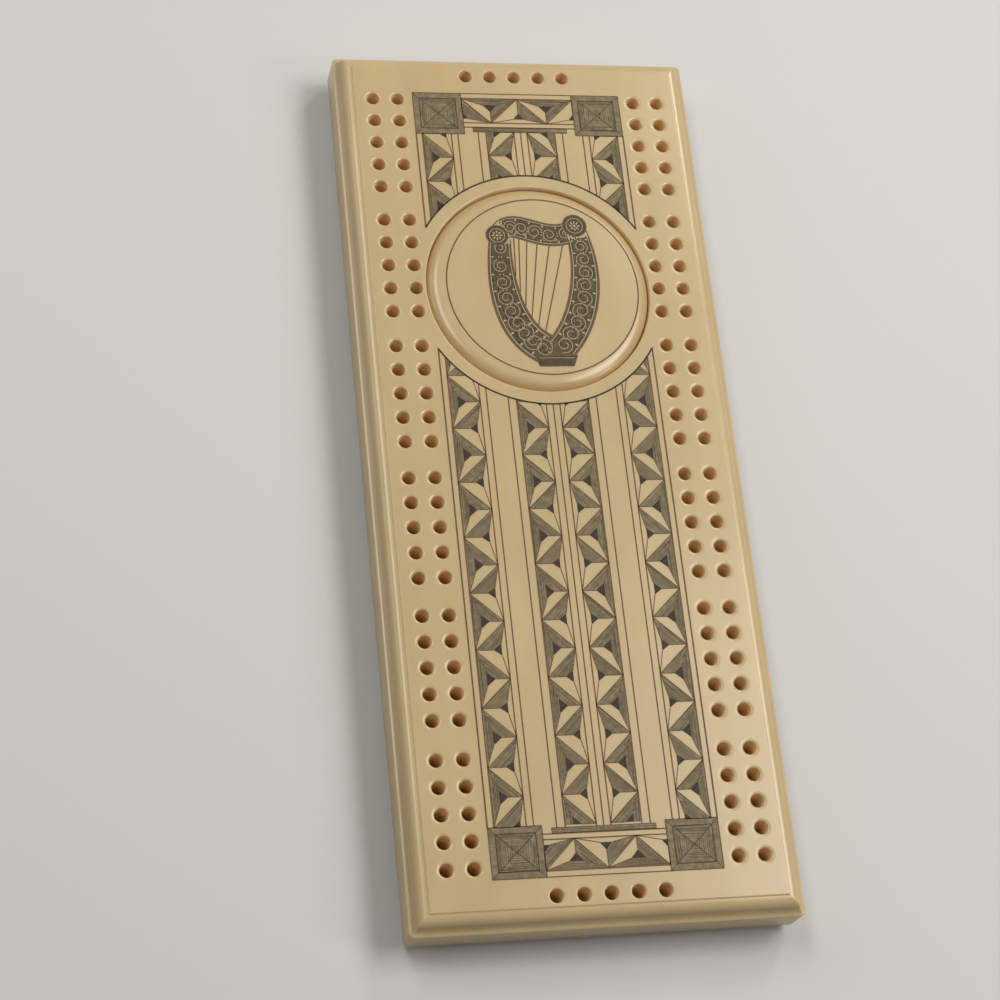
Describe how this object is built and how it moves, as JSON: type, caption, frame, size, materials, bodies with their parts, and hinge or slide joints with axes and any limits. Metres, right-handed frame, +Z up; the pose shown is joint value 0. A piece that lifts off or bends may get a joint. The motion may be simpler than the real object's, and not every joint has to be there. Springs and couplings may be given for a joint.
{
  "type": "cribbage board",
  "caption": "Rectangular cribbage board with ogee edges, drilled peg tracks, an inset round medallion, rubber feet, and an underside peg pocket behind a swinging plate.",
  "frame": {"origin": "centre of the board's outline, on the surface that the feet stand on", "axes": "+Z up out of the playing face, +Y along the board from the near end to the end with the medallion, +X to the right"},
  "size_m": [0.0924, 0.2272, 0.0164],
  "materials": {
    "ivory_resin": "satin, polished, faintly mottled cream",
    "scrimshaw_ink": "ink rubbed into fine hand-cut lines",
    "green_felt": "short-napped felt",
    "brushed_brass": "brushed along its length",
    "turned_brass": "turned and polished",
    "turned_steel": "turned and polished",
    "black_rubber": "matt, moulded"
  },
  "bodies": {
    "board": {"board_slab": "ivory_resin", "medallion_disc": "ivory_resin", "pocket_liner": "green_felt", "pivot_washer": "turned_brass", "pivot_screw": "turned_brass", "keeper_screw": "turned_brass", "pivot_insert": "turned_brass", "keeper_insert": "turned_brass", "foot_near_left": "black_rubber", "foot_near_right": "black_rubber", "foot_far_left": "black_rubber", "foot_far_right": "black_rubber"},
    "plate": {"pocket_plate": "brushed_brass"},
    "peg_brass_1": {"brass_peg_1": "turned_brass"},
    "peg_brass_2": {"brass_peg_2": "turned_brass"},
    "peg_brass_3": {"brass_peg_3": "turned_brass"},
    "peg_steel_1": {"steel_peg_1": "turned_steel"},
    "peg_steel_2": {"steel_peg_2": "turned_steel"},
    "peg_steel_3": {"steel_peg_3": "turned_steel"}
  },
  "joints": [
    {"name": "plate_swing", "type": "hinge", "parent": "board", "child": "plate", "pos_m": [0, -0.046, 0.00225], "axis": [0, 0, 1], "range_deg": [0, 115]},
    {"name": "brass_peg_1_slide", "type": "slide", "parent": "board", "child": "peg_brass_1", "axis": [0, 1, 0], "range_m": [0, 0.006]},
    {"name": "brass_peg_2_slide", "type": "slide", "parent": "board", "child": "peg_brass_2", "axis": [0, 1, 0], "range_m": [0, 0.006]},
    {"name": "brass_peg_3_slide", "type": "slide", "parent": "board", "child": "peg_brass_3", "axis": [0, 1, 0], "range_m": [0, 0.006]},
    {"name": "steel_peg_1_slide", "type": "slide", "parent": "board", "child": "peg_steel_1", "axis": [0, 1, 0], "range_m": [0, 0.006]},
    {"name": "steel_peg_2_slide", "type": "slide", "parent": "board", "child": "peg_steel_2", "axis": [0, 1, 0], "range_m": [0, 0.006]},
    {"name": "steel_peg_3_slide", "type": "slide", "parent": "board", "child": "peg_steel_3", "axis": [0, 1, 0], "range_m": [0, 0.006]}
  ]
}
